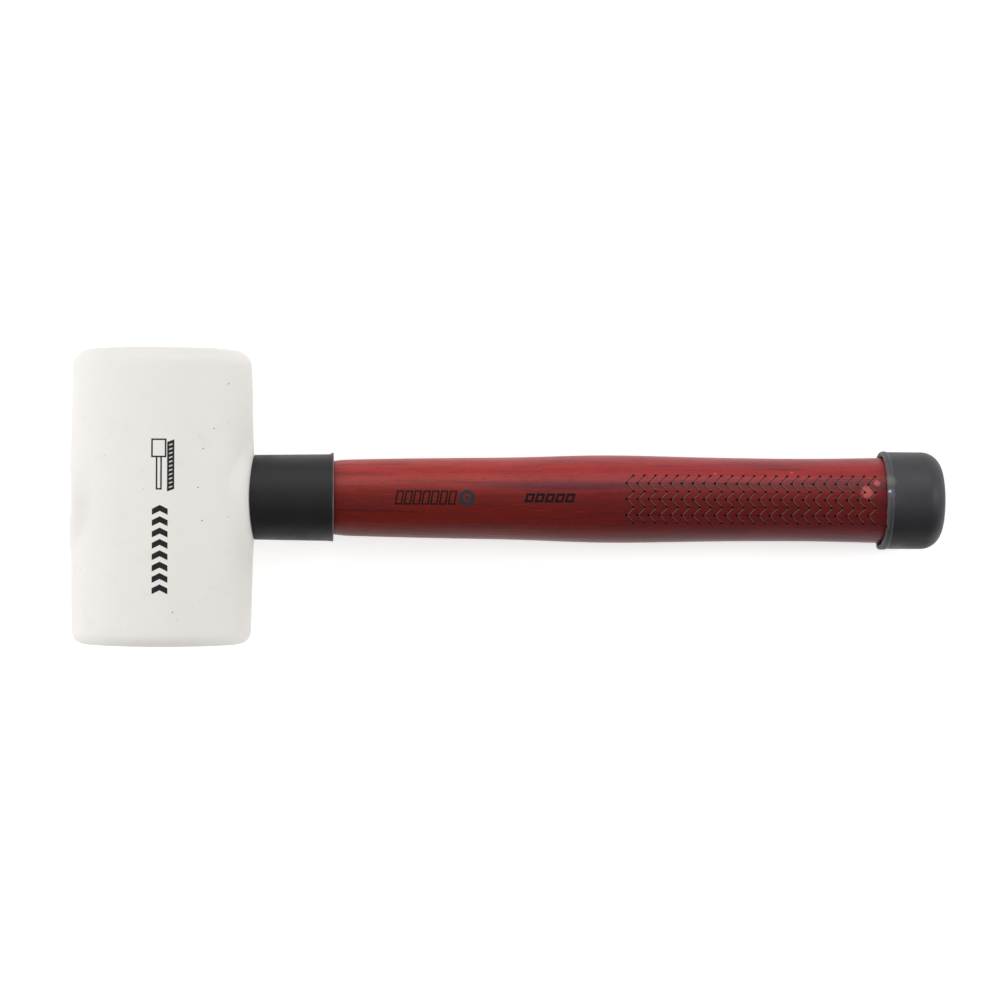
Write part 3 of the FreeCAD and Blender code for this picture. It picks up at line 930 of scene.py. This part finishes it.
def cap_body():
    """Bands of the cap's plain body, its rounded corner, its domed end and the dimple there."""
    shoulder = CAP_END - CAP_DOME
    corner = shoulder - CAP_CORNER
    flat = CAP_BODY - CAP_CORNER
    bands = [(place, CAP_BODY, 0.0) for place in np.linspace(CAP_PLAIN, corner, 8)]
    for turn in np.linspace(0, math.pi / 2, 13)[1:]:
        place = corner + CAP_CORNER * math.sin(turn)
        bands.append((place, flat + CAP_CORNER * math.cos(turn), 0.0))
    for share in (0.85, 0.6, 0.35):
        bands.append((shoulder + CAP_DOME * (1 - share ** 2), flat * share, 0.0))
    bands.append((CAP_END - 0.02 * MM, 2.3 * MM, 0.0))
    bands.append((CAP_END - CAP_DIMPLE, 2.0 * MM, 0.3))
    bands.append((CAP_END - CAP_DIMPLE, 0.6 * MM, 0.2))
    return bands


def cap():
    """Rubber cup on the butt, with a ragged moulded lip and a shallow ring behind it."""
    skin = Skin()
    rings = skin.loft(cap_mouth() + cap_body(), RING_TURNS)
    skin.lid(rings[-1], (CAP_END - CAP_DIMPLE, 0, 0))
    inside = HANDLE_END + 0.02 * MM
    bottom = skin.add_points(turned(inside, SEAT_RADIUS - 1.4 * MM, RING_TURNS))
    wall_place = HANDLE_END - 1.4 * MM
    wall = skin.add_points(turned(wall_place, SEAT_RADIUS + 0.02 * MM, RING_TURNS))
    skin.bridge(bottom, wall)
    skin.bridge(wall, rings[0])
    skin.lid(bottom[::-1], (inside, 0, 0))
    return skin


# ---------------- markings


def head_top(along, across):
    """Z of the head's upper surface at a place (X, Y)."""
    places, radii = zip(*head_profile())
    return np.sqrt(np.square(np.interp(across, places, radii)) - np.square(along))


def handle_top(along, across):
    """Z of the handle's upper surface at a place (X, Y)."""
    return np.sqrt(np.square(wood_radius(along)) - np.square(across))


# How far the slabs of ink reach down into the surface that they lie on.
INK_SUNK = 0.05 * MM


class Marks:
    """Thin slabs of ink that lie on a surface, drawn in millimetres from an origin."""

    def __init__(self, surface, origin, thickness=INK_THICKNESS):
        self.skin = Skin()
        self.surface = surface
        self.origin = np.array(origin) * MM
        self.thickness = thickness

    def slab(self, grid, closed=False):
        """A slab over a grid of places (rows, columns, 2), in metres from the origin."""
        along = grid[..., 0] + self.origin[0]
        across = grid[..., 1] + self.origin[1]
        height = self.surface(along, across)
        layers = []
        for lift in (self.thickness, -INK_SUNK):
            points = np.stack([along, across, height + lift], axis=-1)
            layers.append([self.skin.add_points(row) for row in points])
        top, bottom = layers
        for row in range(len(top) - 1):
            self.skin.bridge(top[row + 1], top[row], closed)
            self.skin.bridge(bottom[row], bottom[row + 1], closed)
        self.skin.bridge(top[0], bottom[0], closed)
        self.skin.bridge(bottom[-1], top[-1], closed)
        if not closed:
            self.skin.bridge([row[0] for row in bottom], [row[0] for row in top], False)
            self.skin.bridge([row[-1] for row in top], [row[-1] for row in bottom], False)

    def panel(self, corner, along, across, lean=0.0, cells=(4, 4)):
        """A parallelogram from a corner: lengths along X and Y, and how far its far side leans."""
        steps = [np.linspace(0, 1, count + 1) for count in cells]
        share_x, share_y = np.meshgrid(*steps, indexing="ij")
        xs = corner[0] + share_x * along
        ys = corner[1] + share_y * across + share_x * lean
        self.slab(np.stack([xs, ys], axis=-1) * MM)

    def stroke(self, start, end, width, cells=6):
        """A straight line of ink between two places."""
        start, end = np.array(start, float), np.array(end, float)
        run = end - start
        side = np.array([-run[1], run[0]]) / np.hypot(*run) * width / 2
        shares = np.linspace(0, 1, cells + 1)[:, None, None]
        edges = np.stack([side, -side])[None, :, :]
        self.slab((start + shares * run + edges) * MM)

    def outline(self, corners, width):
        """Strokes round some corners, each long enough to fill the corner it ends in."""
        corners = np.array(corners, float)
        for start, end in zip(corners, np.roll(corners, -1, axis=0)):
            push = (end - start) / np.hypot(*(end - start)) * width / 2
            self.stroke(start - push, end + push, width)

    def box(self, corner, along, across, width, lean=0.0):
        """The outline of a box whose far side along Y leans towards +X."""
        x, y = corner
        high = y + across
        left, right = x + lean, x + along + lean
        self.outline([(x, y), (x + along, y), (right, high), (left, high)], width)

    def ring(self, centre, outer, inner):
        """A ring, or a dot if the inner radius is small."""
        turns = np.linspace(0, 2 * math.pi, 40, endpoint=False)
        rows = []
        for radius in np.linspace(outer, inner, 4):
            xs = centre[0] + radius * np.cos(turns)
            ys = centre[1] + radius * np.sin(turns)
            rows.append(np.stack([xs, ys], axis=-1))
        self.slab(np.array(rows) * MM, closed=True)


def head_print():
    """Plain printing on the head: bold chevrons, a mallet in outline and a solid strip."""
    marks = Marks(head_top, (-2.0, 0))
    for step in range(8):
        low = -37.4 + step * 4.35
        marks.panel((-0.1, low), 3.0, 2.3, 1.5, (6, 2))
        marks.panel((2.9, low + 1.5), 3.0, 2.3, -1.5, (6, 2))
    marks.box((-0.2, 15.4), 5.2, 6.6, 0.6)
    marks.box((1.6, 3.0), 1.7, 12.4, 0.6)
    marks.panel((5.6, 2.0), 2.7, 19.0, 1.0, (4, 16))
    return marks.skin


def head_print_reversed():
    """Pale dashes on the strip."""
    marks = Marks(head_top, (-2.0, 0), 1.5 * INK_THICKNESS)
    for step in range(11):
        marks.panel((6.3, 3.3 + step * 1.62), 1.3, 0.5, 0.5, (3, 1))
    return marks.skin


def mould_marks():
    """Small raised flaws of the moulding: a gate mark, a seam near the +Y face and short lines."""
    marks = Marks(head_top, (0, 0), 1.5 * INK_THICKNESS)
    marks.stroke((-23.4, -1.1), (-19.2, -0.9), 0.8)
    marks.stroke((0.2, 51.9), (9.2, 52.0), 0.3, 12)
    marks.stroke((5.9, 53.7), (6.9, 53.9), 0.5)
    marks.stroke((-6.0, -45.8), (-3.3, -45.8), 0.25)
    marks.stroke((2.1, -50.3), (5.5, -50.4), 0.25)
    return marks.skin


# Places (X, Y) of the dark specks, in millimetres.
SPECKS = ((26.6, 43.9), (21.3, 26.4), (17.2, 18.6), (15.3, 3.6), (16.9, -9.1), (5.9, -44.3))


def specks():
    """Dark specks in the rubber's skin."""
    marks = Marks(head_top, (0, 0), 0.5 * INK_THICKNESS)
    for place in SPECKS:
        marks.ring(place, 0.28, 0.02)
    return marks.skin


def handle_marks():
    """Marks burnt into the handle: seven outlined boxes, and five small ones with thick lines."""
    marks = Marks(handle_top, (0, 0.2), 0.02 * MM)
    for step in range(7):
        marks.box((91.6 + step * 3.45, -2.5), 2.3, 5.0, 0.62, lean=0.9)
    for step in range(5):
        marks.box((142.6 + step * 3.95, -1.2), 2.4, 2.6, 0.95, lean=0.8)
    return marks.skin


def handle_badge():
    """A ring with a dot in it, in a cooler grey."""
    marks = Marks(handle_top, (0, 0.2), 0.02 * MM)
    marks.ring((119.6, 0), 3.2, 1.7)
    marks.ring((119.6, 0), 0.9, 0.02)
    return marks.skin


# ---------------- stage

WORLD_STRENGTH = 0.25
FLOOR_HALF = 6.0
FLOOR_GLOW = 0.42

# The camera's height is taken from the head's axis, and so is its offset along X. Its sensor and
# lens are in millimetres.
CAMERA_HEIGHT = 1.25
CAMERA_OFFSET = (133.2 * MM, -0.6 * MM)
CAMERA_ROLL = math.radians(0.3)
SENSOR_WIDTH = 36.0
LENS = 114.1


def soft_light(name, place, size, power, diffuse=True, gloss=True):
    """A soft box that points at the tool. It can be kept out of diffuse light or reflections."""
    lamp = bpy.data.lights.new(name, "AREA")
    lamp.shape = "RECTANGLE"
    lamp.size, lamp.size_y = size
    lamp.energy = power
    holder = add_object(name, lamp)
    holder.location = place
    holder.rotation_euler = (-Vector(place)).to_track_quat("-Z", "Y").to_euler()
    holder.visible_camera = False
    holder.visible_diffuse = diffuse
    holder.visible_glossy = gloss


def white_world():
    """White surroundings, shown without tone mapping."""
    world = bpy.data.worlds.new("studio")
    world.use_nodes = True
    background = world.node_tree.nodes["Background"]
    background.inputs["Color"].default_value = (1, 1, 1, 1)
    background.inputs["Strength"].default_value = WORLD_STRENGTH
    bpy.context.scene.world = world
    bpy.context.scene.view_settings.view_transform = "Standard"


def paper_floor():
    """A wide white floor that gives off a little light, so that shadows on it stay faint."""
    mesh = bpy.data.meshes.new("floor")
    low, high = -FLOOR_HALF, FLOOR_HALF
    corners = [(low, low, 0), (high, low, 0), (high, high, 0), (low, high, 0)]
    mesh.from_pydata(corners, [], [(0, 1, 2, 3)])
    floor = add_object("floor", mesh)
    paper = Finish("floor_paper", specular_ior_level=0.1)
    paper.set("Emission Color", (1, 1, 1, 1))
    paper.set("Emission Strength", FLOOR_GLOW)
    shade = paper.noise((0.3,) * 3)
    paper.set("Base Color", paper.blend(shade, srgb(244, 244, 244), srgb(248, 248, 247)))
    paper.set("Roughness", 0.9)
    mesh.materials.append(paper.material)


def studio():
    """Pale floor, white surroundings and five soft boxes, of which one gives only the sheen."""
    white_world()
    paper_floor()
    soft_light("overhead", (-0.3, 0.0, 2.2), (2.0, 2.0), 23, gloss=False)
    soft_light("key", (-0.1, 1.3, 1.1), (1.6, 0.9), 4.5, gloss=False)
    soft_light("sheen", (0.0, 1.3, 1.0), (2.4, 1.2), 24, diffuse=False)
    soft_light("left", (-1.5, 0.1, 0.7), (0.9, 0.9), 9.5)
    soft_light("right", (1.5, 0.3, 0.9), (0.9, 0.9), 12)


def camera():
    """Camera that looks straight down from above the middle of the tool."""
    lens = bpy.data.cameras.new("camera")
    lens.sensor_width = SENSOR_WIDTH
    lens.lens = LENS
    holder = add_object("camera", lens)
    head_axis = TOOL.translation
    along, across = CAMERA_OFFSET
    holder.location = (head_axis.x + along, across, head_axis.z + CAMERA_HEIGHT)
    holder.rotation_euler = (0, 0, CAMERA_ROLL)
    bpy.context.scene.camera = holder


# ---------------- putting it together


WEDGES = ("wood_wedge", "steel_wedge_left", "steel_wedge_right")

# Scuffs on the cap: place and size in millimetres, strength and colour.
CAP_SCUFFS = (
    ((286.2, 3.0, 19), 2.6, 0.5, srgb(96, 98, 112)),
    ((286.0, 3.6, 19), 0.9, 0.9, srgb(200, 200, 206)),
    ((286.0, 8.0, 17.5), 3.4, 0.5, srgb(120, 124, 112)),
)


def add_bodies(rubber):
    """Head, handle, collar and cap, which stand for the CAD's."""
    head = rubber_head().piece("white_rubber_head", rubber, 30)
    finish_piece(head, "white_rubber", "rubber_head")
    grip = handle().piece("hickory_handle", stained_hickory())
    carve(grip, [frame["nodes"][name] for name in WEDGES])
    finish_piece(grip, "stained_hickory", "handle")
    black = black_rubber("collar_rubber_finish", srgb(28, 28, 29), srgb(35, 35, 36))
    sleeve = collar().piece("collar_sleeve", black, 30)
    finish_piece(sleeve, "black_rubber", "neck_collar")
    grey = black_rubber("cap_rubber_finish", srgb(51, 51, 54), srgb(62, 61, 66), CAP_SCUFFS)
    cup = cap().piece("cap_cup", grey, 50)
    finish_piece(cup, "black_rubber", "butt_cap")


def dress_wedges():
    """Put the visual finishes on the wedges, which stay the CAD's own."""
    steel = wedge_steel()
    for name, finish in zip(WEDGES, (wedge_wood(), steel, steel)):
        for slot in frame["nodes"][name].material_slots:
            slot.material = finish


def add_markings(rubber):
    """Printing, burnt marks, specks and the moulding's flaws, each a piece of its own."""
    black = ink("black_ink", srgb(14, 14, 15), srgb(26, 26, 27))
    pale = ink("pale_ink", srgb(214, 214, 210), srgb(190, 190, 186))
    char = ink("charred_wood", srgb(12, 9, 9), srgb(32, 20, 20), 0.1)
    cool = ink("charred_wood_cool", srgb(30, 34, 42), srgb(48, 52, 60), 0.1)
    grit = ink("rubber_grit", srgb(150, 143, 134), srgb(120, 112, 104))
    finish_piece(mould_marks().piece("mould_marks", rubber), "white_rubber")
    finish_piece(specks().piece("rubber_specks", grit), "white_rubber")
    finish_piece(head_print().piece("head_print", black), "white_rubber")
    finish_piece(head_print_reversed().piece("head_print_dashes", pale), "white_rubber")
    finish_piece(handle_marks().piece("handle_etching", char), "stained_hickory")
    finish_piece(handle_badge().piece("handle_badge", cool), "stained_hickory")


def main():
    rubber = white_rubber()
    add_bodies(rubber)
    dress_wedges()
    add_markings(rubber)
    studio()
    camera()


main()
